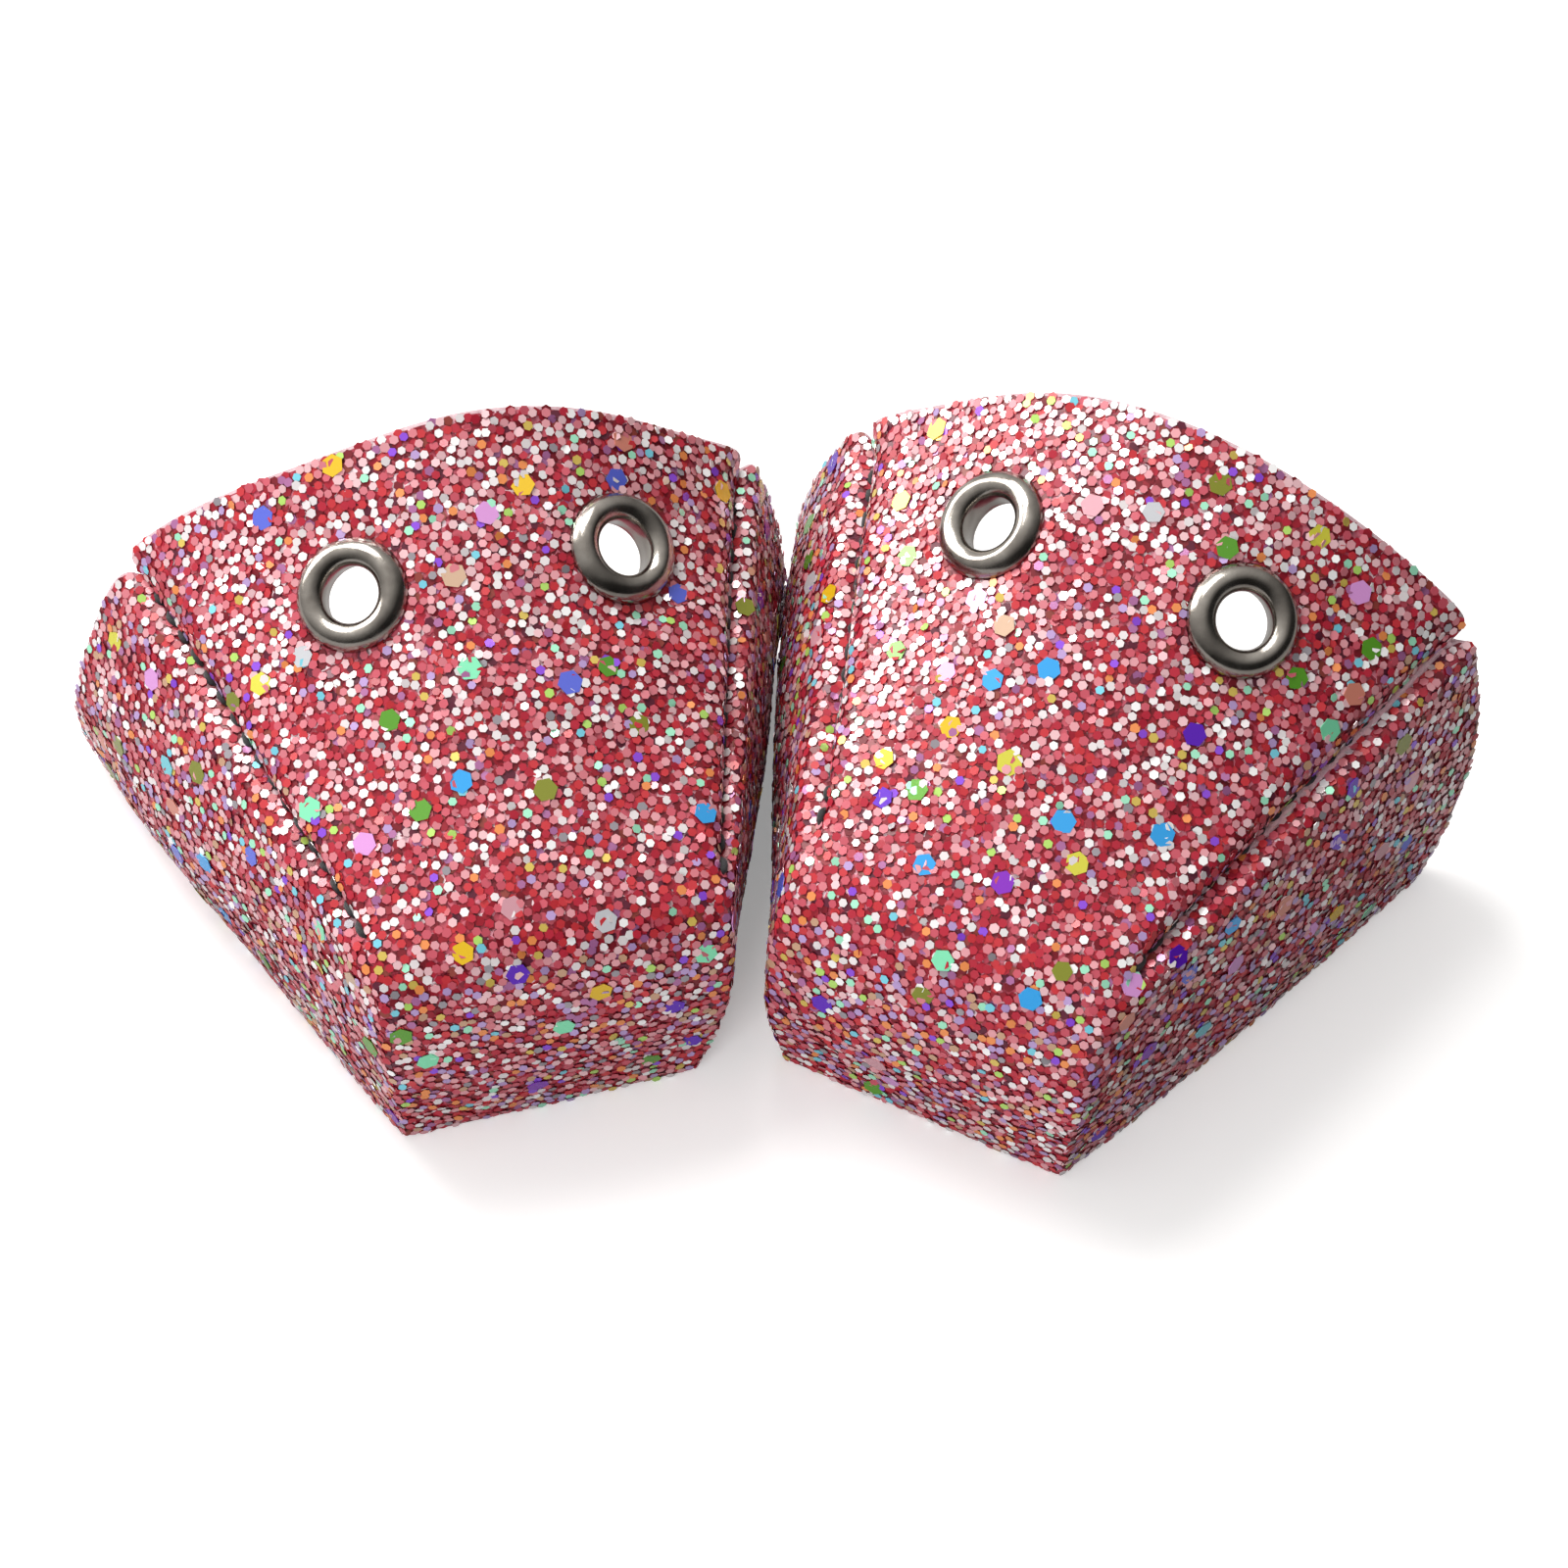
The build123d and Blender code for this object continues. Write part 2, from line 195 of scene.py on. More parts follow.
def side_width(wing, q, tau):
    """Half width: straight from rim to seam, puffed between, with a fuller low flank."""
    seam = seam_at(wing, q)[0]
    rim = wing.rim_toe[0] + (wing.rim_rear[0] - wing.rim_toe[0]) * q
    rear_bulge = wing.mid_rear[0] - 0.5 * (wing.seam_rear[0] + wing.rim_rear[0])
    bulge = (rear_bulge * smooth(q * 1.15) + 0.9 * math.sin(math.pi * min(1, q * 1.1))
             + wing.belly * (1 - q) ** 2)
    low = wing.flank * math.sin(math.pi * (0.18 + 0.82 * q) ** 0.75) * (1 - tau) ** 1.5
    return rim + (seam - rim) * tau + 4 * bulge * tau * (1 - tau) + low


def wall_point(wing, sign, q, tau):
    front_y = wing.rim_toe[1] + (wing.seam_toe[1] - wing.rim_toe[1]) * toe_roll(tau)
    y = front_y + (rear_y(wing, tau) - front_y) * q
    return [sign * side_width(wing, q, tau), y, seam_at(wing, q)[2] * tau]


def top_point(guard, p, q):
    neg, plus = guard.wings[-1], guard.wings[1]
    k = (p + 1) / 2
    toe_y = neg.seam_toe[1] * (1 - k) + plus.seam_toe[1] * k
    arch = 1 - abs(p) ** guard.arc
    rise = guard.rear_mid - 0.5 * (neg.seam_rear[1] + plus.seam_rear[1])
    back_y = (neg.seam_rear[1] * (1 - k) + plus.seam_rear[1] * k + rise * arch
              + sum(h * math.exp(-((p - c) / w) ** 2) for c, w, h in guard.bows))
    y = toe_y + (back_y - toe_y) * q
    width, _, seam_z = seam_at(wing_of(guard, p), q)
    z = crown_z(guard, y)
    return [p * width, y, z - (z - seam_z) * abs(p) ** 2.0]


def front_point(guard, p, tau):
    neg, plus = guard.wings[-1], guard.wings[1]
    k = (p + 1) / 2
    rim_y = neg.rim_toe[1] * (1 - k) + plus.rim_toe[1] * k
    seam_y = neg.seam_toe[1] * (1 - k) + plus.seam_toe[1] * k
    bow = 0.9 * (1 - p * p) * math.sin(math.pi * tau) ** 0.8
    y = rim_y + (seam_y - rim_y) * toe_roll(tau) - bow
    width = side_width(wing_of(guard, p), 0.0, tau)
    return [p * width, y, top_point(guard, p, 0.0)[2] * tau]


# ------------------------------------------------------------------ control cage
def top_vertex(guard, i, j, grooved):
    p, q = P_COLS[i], Q_ROWS[j]
    v = top_point(guard, p, q)
    fade = smooth(q / GROOVE_RUN) * wing_of(guard, p).groove
    from_edge = min(i, LAST_COL - i)
    if from_edge == 0:
        if grooved and j < LAST_ROW:
            v[2] -= SEAM_SINK * fade * 0.85
            v[0] -= math.copysign(SEAM_SINK * fade * 0.55, v[0])
        if j == LAST_ROW:          # rear corner of the top panel stands proud
            v[1] += 0.1
            v[0] += math.copysign(0.3, v[0])
            v[2] += 0.35
    elif grooved and from_edge == 1:
        v[2] += SEAM_PUFF * fade * 0.9
        v[0] += math.copysign(SEAM_PUFF * fade * 0.9, v[0])
    elif grooved and from_edge == 2:
        v[2] += SEAM_PUFF * fade * 0.5
    return v


def wall_vertex(guard, sign, j, m, grooved):
    wing = guard.wings[sign]
    q, tau = Q_ROWS[j], T_ROWS[m]
    fade = smooth(q / GROOVE_RUN) * wing.groove
    v = wall_point(wing, sign, q, tau)
    if grooved and m == 1:
        v[0] += sign * SEAM_PUFF * fade
        v[2] += SEAM_PUFF * fade * 0.55
    if grooved and m == 2:
        v[0] += sign * SEAM_PUFF * fade * 0.4
    if j == LAST_ROW:              # rounded, slightly shorter top corner of the wing
        v[1] -= wing.tuck * math.exp(-((1 - tau) / 0.10) ** 2)
        if m == 0:
            v[0] -= sign * 0.1
            v[2] -= 0.8
    return v


def build_cage(guard, grooved):
    """Cage points, faces, edge creases and the seam point numbers of each wing."""
    verts, faces, crease = [], [], {}
    seam_col = {-1: 0, 1: LAST_COL}

    def add(point):
        verts.append(point)
        return len(verts) - 1

    def set_crease(a, b, value):
        crease[min(a, b), max(a, b)] = value

    top = {}
    for j in range(LAST_ROW + 1):
        for i in range(LAST_COL + 1):
            top[i, j] = add(top_vertex(guard, i, j, grooved))
    for j in range(LAST_ROW):
        for i in range(LAST_COL):
            faces.append((top[i, j], top[i + 1, j], top[i + 1, j + 1], top[i, j + 1]))

    # Round the walls as (sign, station): -x wing rear to toe, front (sign 0), +x wing
    # toe to rear. Walls share the top's edge points except at the two rear corners.
    path = ([(-1, j) for j in range(LAST_ROW, 0, -1)]
            + [(0, i) for i in range(LAST_COL + 1)]
            + [(1, j) for j in range(1, LAST_ROW + 1)])
    wall = {}
    for k, (sign, station) in enumerate(path):
        for m, tau in enumerate(T_ROWS):
            if sign == 0:
                wall[k, m] = (top[station, 0] if m == 0
                              else add(front_point(guard, P_COLS[station], tau)))
            elif m == 0 and station < LAST_ROW:
                wall[k, m] = top[seam_col[sign], station]
            else:
                wall[k, m] = add(wall_vertex(guard, sign, station, m, grooved))
    for k in range(len(path) - 1):
        for m in range(len(T_ROWS) - 1):
            faces.append((wall[k, m], wall[k, m + 1], wall[k + 1, m + 1], wall[k + 1, m]))

    for k in (LAST_ROW, LAST_ROW + LAST_COL):          # toe corners, sharper toward the rim
        for m in range(len(T_ROWS) - 1):
            tau = 0.5 * (T_ROWS[m] + T_ROWS[m + 1])
            set_crease(wall[k, m], wall[k, m + 1], 0.12 + 0.5 * (1 - tau) ** 1.5)
    if grooved:
        for col in seam_col.values():
            for j in range(1, LAST_ROW):
                set_crease(top[col, j], top[col, j + 1], 0.6 * smooth(Q_ROWS[j] / GROOVE_RUN))
    seams = {sign: [top[col, j] for j in range(LAST_ROW)] for sign, col in seam_col.items()}
    return verts, faces, crease, seams


def subdivided(verts, faces, crease):
    """Points and quads of the smoothed cage; the cage points keep their numbers."""
    me = bpy.data.meshes.new("cage")
    me.from_pydata([tuple(v) for v in verts], [], faces)
    me.update()
    layer = me.attributes.new("crease_edge", "FLOAT", "EDGE")
    layer.data.foreach_set("value", [crease.get((min(*e.vertices), max(*e.vertices)), 0.0)
                                     for e in me.edges])
    obj = bpy.data.objects.new("cage", me)
    bpy.context.scene.collection.objects.link(obj)
    mod = obj.modifiers.new("s", "SUBSURF")
    mod.levels = mod.render_levels = LEVEL
    mod.boundary_smooth = "ALL"
    depsgraph = bpy.context.evaluated_depsgraph_get()
    result = obj.evaluated_get(depsgraph).to_mesh()
    points = np.empty(len(result.vertices) * 3)
    result.vertices.foreach_get("co", points)
    quads = np.empty(len(result.polygons) * 4, np.int32)
    result.polygons.foreach_get("vertices", quads)
    obj.evaluated_get(depsgraph).to_mesh_clear()
    bpy.data.objects.remove(obj)
    bpy.data.meshes.remove(me)
    return points.reshape(-1, 3), quads.reshape(-1, 4)


# ------------------------------------------------------------------ sheet tools
def vertex_normals(points, quads):
    face_normals = np.cross(points[quads[:, 2]] - points[quads[:, 0]],
                            points[quads[:, 3]] - points[quads[:, 1]])
    normals = np.zeros_like(points)
    for k in range(4):
        np.add.at(normals, quads[:, k], face_normals)
    return normals / np.maximum(np.linalg.norm(normals, axis=1), 1e-12)[:, None]


def wave(points, seed, size, amount):
    """Smooth low-frequency wander, from a few fixed sine waves."""
    rng = np.random.default_rng(seed)
    out = np.zeros(len(points))
    for _ in range(9):
        k = rng.normal(size=3)
        k *= 2 * math.pi / (size * rng.uniform(0.7, 1.6)) / np.linalg.norm(k)
        out += np.sin(points @ k + rng.uniform(0, 6.28))
    return out * amount / 3.0


def press_seats(points, seats, lift, flat_r=6.6, out_r=10.5, depth=8.0):
    """Pull the sheet (metres) flat at height lift (mm) round each seat, fading to out_r."""
    points = points.copy()
    for centre, axis in seats:
        height, dist = seat_distances(points, centre, axis)
        dist = dist / MM
        near = (dist < out_r) & (np.abs(height) < depth * MM)
        w = np.clip((out_r - dist) / (out_r - flat_r), 0, 1)
        w = w * w * (3 - 2 * w)
        points[near] += (-(height - lift * MM)[:, None] * axis * w[:, None])[near]
    return points


def open_edges(quads):
    """Directed edges that belong to one face only."""
    edges = {}
    for f in quads.tolist():
        for k in range(4):
            edges[f[k], f[(k + 1) % 4]] = True
    return [(a, b) for a, b in edges if (b, a) not in edges]


def sheet(outer, inner, quads):
    """Closed sheet between two surfaces; kinds are 0 outer, 1 inner, 2 cut edge."""
    n = len(outer)
    rim = open_edges(quads)
    faces = ([tuple(f) for f in quads] + [tuple(v + n for v in f[::-1]) for f in quads]
             + [(b, a, a + n, b + n) for a, b in rim])
    kinds = [0] * len(quads) + [1] * len(quads) + [2] * len(rim)
    used = np.unique(np.concatenate([np.ravel(quads), np.ravel(quads) + n]))
    remap = -np.ones(2 * n, int)
    remap[used] = np.arange(len(used))
    points = np.concatenate([outer, inner])[used]
    return points, [tuple(remap[v] for v in f) for f in faces], kinds


def new_object(name, points, faces, mats, kinds=None):
    me = bpy.data.meshes.new(name)
    me.from_pydata(np.asarray(points).tolist(), [], [list(map(int, f)) for f in faces])
    for mat in mats:
        me.materials.append(mat)
    if kinds is not None:
        me.polygons.foreach_set("material_index", np.asarray(kinds, np.int32))
    me.polygons.foreach_set("use_smooth", np.ones(len(me.polygons), bool))
    me.update()
    obj = bpy.data.objects.new(name, me)
    bpy.context.scene.collection.objects.link(obj)
    return obj


def register(obj, replaced, hand):
    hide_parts(replaced)
    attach(obj, hand + "_guard")


# ------------------------------------------------------------------ material helpers
def new_mat(name):
    mat = bpy.data.materials.new(name)
    mat.use_nodes = True
    return mat, mat.node_tree, mat.node_tree.nodes["Principled BSDF"]


def node(nt, kind, **settings):
    n = nt.nodes.new(kind)
    for key, value in settings.items():
        if key in n.inputs:
            n.inputs[key].default_value = value
        else:
            setattr(n, key, value)
    return n


def texture(nt, coords, kind, **settings):
    """Texture node in object coordinates."""
    n = node(nt, kind, **settings)
    nt.links.new(coords.outputs["Object"], n.inputs["Vector"])
    return n


def ramp(nt, stops, source, target):
    """Colour ramp of (position, colour) stops between two sockets."""
    n = nt.nodes.new("ShaderNodeValToRGB")
    elements = n.color_ramp.elements
    while len(elements) < len(stops):
        elements.new(0.5)
    for element, (position, color) in zip(elements, stops):
        element.position = position
        element.color = (*color, 1)
    nt.links.new(source, n.inputs["Fac"])
    nt.links.new(n.outputs["Color"], target)


def map_range(nt, source, target, **limits):
    """Map Range between two sockets; from_min becomes the input 'From Min'."""
    n = nt.nodes.new("ShaderNodeMapRange")
    for key, value in limits.items():
        n.inputs[key.replace("_", " ").title()].default_value = value
    nt.links.new(source, n.inputs["Value"])
    nt.links.new(n.outputs["Result"], target)


def add_bump(nt, bsdf, height, strength, distance):
    bump = node(nt, "ShaderNodeBump", Strength=strength, Distance=distance)
    nt.links.new(height, bump.inputs["Height"])
    nt.links.new(bump.outputs["Normal"], bsdf.inputs["Normal"])


# ------------------------------------------------------------------ materials
def mat_leather():
    """Pink film under the flakes: fine glitter dust seen between the larger flakes."""
    mat, nt, bsdf = new_mat("glitter_leather")
    coords = node(nt, "ShaderNodeTexCoord")
    dust = texture(nt, coords, "ShaderNodeTexVoronoi", Scale=1500.0)
    relief = texture(nt, coords, "ShaderNodeTexVoronoi", Scale=820.0)
    channels = node(nt, "ShaderNodeSeparateColor")
    nt.links.new(dust.outputs["Color"], channels.inputs["Color"])
    stops = [(0.0, (0.16, 0.012, 0.022)), (0.35, (0.36, 0.03, 0.055)),
             (0.62, (0.50, 0.07, 0.11)), (0.82, (0.62, 0.20, 0.26)), (0.93, (0.80, 0.62, 0.66))]
    ramp(nt, stops, channels.outputs[0], bsdf.inputs["Base Color"])
    map_range(nt, channels.outputs[1], bsdf.inputs["Roughness"], to_min=0.22, to_max=0.6)
    add_bump(nt, bsdf, relief.outputs["Distance"], strength=0.55, distance=0.00025)
    bsdf.inputs["Specular IOR Level"].default_value = 0.6
    return mat


def mat_fibre(name, dark, mid, light, scale=900.0, rough=0.92, bump=0.0003, sheen=0.35):
    """Fibrous surface: fine fibres mixed with broad mottling."""
    mat, nt, bsdf = new_mat(name)
    coords = node(nt, "ShaderNodeTexCoord")
    kind = "ShaderNodeTexNoise"
    fibres = texture(nt, coords, kind, Scale=scale, Detail=8.0, Roughness=0.75)
    mottle = texture(nt, coords, kind, Scale=scale * 0.07, Detail=3.0)
    fuzz = texture(nt, coords, kind, Scale=scale * 2.6, Detail=5.0, Roughness=0.8,
                   Distortion=1.5)
    mix = node(nt, "ShaderNodeMix", data_type="FLOAT", Factor=0.45)
    nt.links.new(fibres.outputs["Fac"], mix.inputs[2])
    nt.links.new(mottle.outputs["Fac"], mix.inputs[3])
    stops = [(0.28, dark), (0.5, mid), (0.7, light)]
    ramp(nt, stops, mix.outputs[0], bsdf.inputs["Base Color"])
    height = node(nt, "ShaderNodeMath", operation="ADD")
    nt.links.new(fibres.outputs["Fac"], height.inputs[0])
    nt.links.new(fuzz.outputs["Fac"], height.inputs[1])
    add_bump(nt, bsdf, height.outputs[0], strength=0.6, distance=bump)
    bsdf.inputs["Roughness"].default_value = rough
    bsdf.inputs["Sheen Weight"].default_value = sheen
    return mat


def mat_nickel():
    mat, nt, bsdf = new_mat("nickel_plate")
    coords = node(nt, "ShaderNodeTexCoord")
    stain = texture(nt, coords, "ShaderNodeTexNoise", Scale=420.0, Detail=5.0)
    grain = texture(nt, coords, "ShaderNodeTexNoise", Scale=3800.0, Detail=3.0)
    stops = [(0.3, (0.30, 0.272, 0.245)), (0.55, (0.40, 0.37, 0.335)),
             (0.75, (0.48, 0.45, 0.41))]
    ramp(nt, stops, stain.outputs["Fac"], bsdf.inputs["Base Color"])
    map_range(nt, stain.outputs["Fac"], bsdf.inputs["Roughness"],
              from_min=0.3, from_max=0.7, to_min=0.12, to_max=0.26)
    add_bump(nt, bsdf, grain.outputs["Fac"], strength=0.12, distance=0.00004)
    bsdf.inputs["Metallic"].default_value = 1.0
    return mat


def mat_flake(name, color, rough, metal, coat, spec):
    mat, _, bsdf = new_mat(name)
    values = {"Base Color": (*color, 1), "Roughness": rough, "Metallic": metal,
              "Coat Weight": coat, "Coat Roughness": 0.12, "Specular IOR Level": spec}
    for key, value in values.items():
        bsdf.inputs[key].default_value = value
    return mat


MAT_LEATHER = mat_leather()
MAT_EDGE = mat_fibre("cut_edge", dark=(0.55, 0.30, 0.35), mid=(0.78, 0.52, 0.57),
                     light=(0.90, 0.74, 0.77), scale=1400.0, rough=0.8)
MAT_BACK = mat_fibre("leather_back", dark=(0.50, 0.26, 0.30), mid=(0.66, 0.40, 0.45),
                     light=(0.78, 0.55, 0.60))
MAT_FELT = mat_fibre("felt_lining", dark=(0.48, 0.34, 0.36), mid=(0.66, 0.51, 0.53),
                     light=(0.80, 0.68, 0.69), scale=1100.0)
MAT_THREAD = mat_fibre("black_thread", dark=(0.006, 0.006, 0.007), mid=(0.015, 0.015, 0.017),
                       light=(0.05, 0.048, 0.05), scale=5200.0, rough=0.7, bump=0.00008,
                       sheen=0.2)
MAT_SOLE = mat_fibre("sole_leather", dark=(0.30, 0.05, 0.085), mid=(0.42, 0.085, 0.13),
                     light=(0.55, 0.16, 0.21), scale=1300.0, rough=0.62, bump=0.00018,
                     sheen=0.05)
MAT_NICKEL = mat_nickel()

# Small flakes: name -> (linear colour, roughness, metallic, coat)
TINTS = {
    "crimson_deep": ((0.270, 0.010, 0.022), 0.34, 0.0, 0.10),
    "crimson_dark": ((0.170, 0.008, 0.016), 0.36, 0.0, 0.10),
    "crimson": ((0.410, 0.020, 0.040), 0.28, 0.0, 0.15),
    "scarlet": ((0.520, 0.035, 0.045), 0.26, 0.05, 0.20),
    "wine": ((0.110, 0.016, 0.034), 0.30, 0.1, 0.15),
    "russet": ((0.240, 0.045, 0.035), 0.32, 0.0, 0.15),
    "rose": ((0.540, 0.085, 0.120), 0.24, 0.1, 0.30),
    "rose_light": ((0.620, 0.180, 0.215), 0.24, 0.1, 0.35),
    "pink": ((0.740, 0.330, 0.365), 0.22, 0.15, 0.4),
    "pink_light": ((0.820, 0.510, 0.540), 0.20, 0.2, 0.5),
    "silver": ((0.900, 0.830, 0.840), 0.18, 0.35, 0.6),
    "white": ((0.930, 0.915, 0.915), 0.24, 0.15, 0.6),
    "mauve": ((0.420, 0.150, 0.340), 0.22, 0.3, 0.4),
    "lilac": ((0.500, 0.340, 0.640), 0.22, 0.3, 0.4),
    "mint": ((0.380, 0.840, 0.590), 0.22, 0.25, 0.4),
    "orange": ((0.820, 0.270, 0.080), 0.22, 0.2, 0.4),
    "gold": ((0.760, 0.560, 0.120), 0.22, 0.35, 0.4),
    "cyan": ((0.200, 0.640, 0.780), 0.22, 0.25, 0.4),
    "violet": ((0.270, 0.070, 0.700), 0.22, 0.3, 0.4),
    "lime": ((0.450, 0.720, 0.150), 0.22, 0.25, 0.4),
    "slate": ((0.330, 0.300, 0.330), 0.24, 0.3, 0.4),
    "tan": ((0.560, 0.330, 0.210), 0.24, 0.2, 0.4),
}
# Colour mixes: tint -> weight
UNDER = {"crimson_deep": 24, "crimson_dark": 14, "crimson": 25, "scarlet": 13, "wine": 7,
         "russet": 5, "rose": 9, "mauve": 3}
OVER_TOP = {"crimson": 12, "scarlet": 9, "rose": 16, "rose_light": 14, "pink": 13,
            "pink_light": 12, "silver": 12, "white": 10, "mauve": 2.5, "lilac": 1.5,
            "mint": 2.2, "orange": 2.4, "gold": 1.2, "cyan": 0.9, "violet": 1.4,
            "lime": 1.2, "slate": 0.8}
# The wall mix has fewer white flakes and more lilac, mauve, slate and tan ones than the top:
# painted reflection (the colour shift of flakes seen at a slant) and painted shade.
OVER_WALL_PAINTED_SHIFT_AND_SHADE = {"crimson": 10, "scarlet": 5, "rose": 13, "rose_light": 12, "pink": 14,
             "pink_light": 10, "silver": 10, "white": 6, "mauve": 8, "lilac": 11,
             "mint": 3.4, "orange": 5.0, "gold": 1.8, "cyan": 1.6, "violet": 2.0,
             "lime": 1.4, "slate": 4.0, "tan": 5.0}
# Large flakes: name -> (linear colour, weight)
BIG = {
    "hex_violet": ((0.115, 0.010, 0.520), 5), "hex_purple": ((0.230, 0.012, 0.500), 2),
    "hex_green": ((0.100, 0.330, 0.020), 5), "hex_olive": ((0.220, 0.240, 0.012), 5),
    "hex_gold": ((0.780, 0.490, 0.006), 4), "hex_yellow": ((0.700, 0.660, 0.060), 3),
    "hex_blue": ((0.030, 0.370, 0.830), 3), "hex_cornflower": ((0.110, 0.150, 0.720), 4),
    "hex_orchid": ((0.730, 0.330, 0.720), 5), "hex_blush": ((0.720, 0.360, 0.420), 4),
    "hex_mint": ((0.230, 0.790, 0.470), 4), "hex_salmon": ((0.700, 0.250, 0.180), 2),
    "hex_beige": ((0.560, 0.370, 0.250), 3), "hex_cyan": ((0.170, 0.620, 0.720), 3),
    "hex_silver": ((0.560, 0.570, 0.600), 3),
}
BIG_MIX = {name: weight for name, (_, weight) in BIG.items()}
# Thinly coated tints also get a weaker specular.
FLAKE_MATS = {name: mat_flake("flake_" + name, color=color, rough=rough, metal=metal,
                              coat=coat, spec=0.35 if coat < 0.25 else 0.6)
              for name, (color, rough, metal, coat) in TINTS.items()}
FLAKE_MATS.update({name: mat_flake(name, color=color, rough=0.24, metal=0.25, coat=0.5,
                                   spec=0.7)
                   for name, (color, _) in BIG.items()})


# ------------------------------------------------------------------ leather shell and lining
# outer: shell surface, metres; inner, inner_normals, depth: smooth surface in the guard
# frame and the leather's depth under it, mm; seams: sign -> (seam points, normals)
Skin = namedtuple("Skin", "seats outer normals inner inner_normals depth quads hole seams")


def make_skin(hand, guard):
    seats = [seat_of(hand, "outer"), seat_of(hand, "inner")]
    verts, faces, crease, seam_ids = build_cage(guard, True)
    outer, quads = subdivided(verts, faces, crease)
    verts, faces, crease, _ = build_cage(guard, False)
    inner, _ = subdivided(verts, faces, crease)
    inner_normals = vertex_normals(inner, quads)
    # The leather stands further inward under each seam groove.
    sunk = ((inner - outer) * inner_normals).sum(1)
    depth = np.maximum(T_SHELL, sunk + 0.55)[:, None]
    wander = wave(outer, guard.wander_seed, size=17.0, amount=0.16)
    fade = np.clip(outer[:, 2] / 6.0, 0, 1)
    outer = outer + vertex_normals(outer, quads) * (wander * fade)[:, None]
    outer[:, 2] = np.maximum(outer[:, 2], 0.0)
    outer = press_seats(to_row(guard, outer), seats, lift=0.0)
    hole = near_seats(outer[quads].mean(1), seats, radius=4.3, depth=6.0)
    normals = vertex_normals(outer, quads)
    seams = {sign: (outer[ids], normals[ids]) for sign, ids in seam_ids.items()}
    return Skin(seats, outer, normals, inner, inner_normals, depth, quads, hole, seams)


def build_shell(hand, guard, skin):
    inside = skin.inner - skin.inner_normals * skin.depth
    inside[:, 2] = np.maximum(inside[:, 2], 0.0)
    inside = press_seats(to_row(guard, inside), skin.seats, lift=-T_SHELL)
    keep = skin.quads[~skin.hole]
    points, faces, kinds = sheet(skin.outer, inside, keep)
    # Outer faces along the free edges above the floor show the cut edge too.
    on_edge = np.zeros(len(skin.outer), bool)
    on_edge[np.ravel(open_edges(skin.quads))] = True
    on_edge &= skin.outer[:, 2] > 1.2 * MM
    for i in np.nonzero(on_edge[keep].any(1))[0]:
        kinds[i] = 2
    shell = new_object(hand + "_leather_shell", points, faces,
                       [MAT_LEATHER, MAT_BACK, MAT_EDGE], kinds)
    register(shell, hand + "_shell", hand)


def build_lining(hand, guard, skin):
    """Felt inside the shell, ending just above the sole panel."""
    surfaces = []
    # (depth beyond the leather, pressed height at the seats)
    for extra, lift in ((0.06, -(T_SHELL + 0.04)), (T_LINING, -(T_SHELL + T_LINING))):
        points = skin.inner - skin.inner_normals * (skin.depth + extra)
        points[:, 2] = np.maximum(points[:, 2], T_BASE + 0.05)
        surfaces.append(press_seats(to_row(guard, points), skin.seats, lift))
    low = skin.inner[skin.quads][:, :, 2].max(1) < T_BASE + 0.1
    points, faces, kinds = sheet(*surfaces, skin.quads[~skin.hole & ~low])
    lining = new_object(hand + "_felt_lining", points, faces,
                        [MAT_FELT, MAT_FELT, MAT_EDGE], kinds)
    register(lining, hand + "_lining", hand)


# ------------------------------------------------------------------ glitter flakes
# tries: random points tried; gap: least spacing; seat, seam, rim: clearances;
# across: (mean, spread, least, most) across flats; lift: range above the leather;
# tilt_max: degrees
Layer = namedtuple("Layer", "tries gap seat seam rim across thick lift tilt_max")
UNDER_LAYER = Layer(tries=60000, gap=0.76,
                    seat=6.35, seam=0.0, rim=0.40, across=(0.96, 0.05, 0.8, 1.1),
                    thick=0.05, lift=(0.07, 0.13), tilt_max=15)
OVER_LAYER = Layer(tries=50000, gap=0.80,
                   seat=6.4, seam=0.12, rim=0.42, across=(0.88, 0.05, 0.74, 1.02),
                   thick=0.05, lift=(0.20, 0.32), tilt_max=24)
BIG_LAYER = Layer(tries=260, gap=3.6, seat=7.2, seam=1.1, rim=1.25,
                  across=(2.2, 0.10, 0.0, math.inf), thick=0.08, lift=(0.27, 0.36),
                  tilt_max=math.inf)
BIG_COUNT = 74                    # most large flakes on one guard
WALL_NZ = 0.62                    # normals with a smaller z belong to the walls
NEIGHBOURS = list(product((-1, 0, 1), repeat=3))


def draw_mix(mix, count, rng):
    names = list(mix)
    weights = np.array([mix[n] for n in names], float)
    return names, rng.choice(len(names), count, p=weights / weights.sum())


def scatter(points, quads, normals, tries, gap, rng, reject):
    """Blue-noise points on a quad surface: positions and normals."""
    a, b, c, d = (points[quads[:, k]] for k in range(4))
    area = 0.5 * np.linalg.norm(np.cross(c - a, d - b), axis=1)
    share = np.cumsum(area) / area.sum()
    face = np.searchsorted(share, rng.random(tries))
    u, v = rng.random(tries)[:, None], rng.random(tries)[:, None]

    def blend(values):
        a, b, c, d = (values[quads[face, k]] for k in range(4))
        return (a * (1 - u) + b * u) * (1 - v) + (d * (1 - u) + c * u) * v

    pos, nrm = blend(points), unit_rows(blend(normals))
    keep = ~reject(pos)
    pos, nrm = pos[keep], nrm[keep]
    cells, chosen = {}, []
    keys = np.floor(pos * (1.0 / gap)).astype(int).tolist()
    gap_sq = gap * gap
    spots = pos.tolist()
    for i, (kx, ky, kz) in enumerate(keys):
        x, y, z = spots[i]
        near = (q for dx, dy, dz in NEIGHBOURS
                for q in cells.get((kx + dx, ky + dy, kz + dz), ()))
        if not any((x - q[0]) ** 2 + (y - q[1]) ** 2 + (z - q[2]) ** 2 < gap_sq for q in near):
            cells.setdefault((kx, ky, kz), []).append(spots[i])
            chosen.append(i)
    return pos[chosen], nrm[chosen]


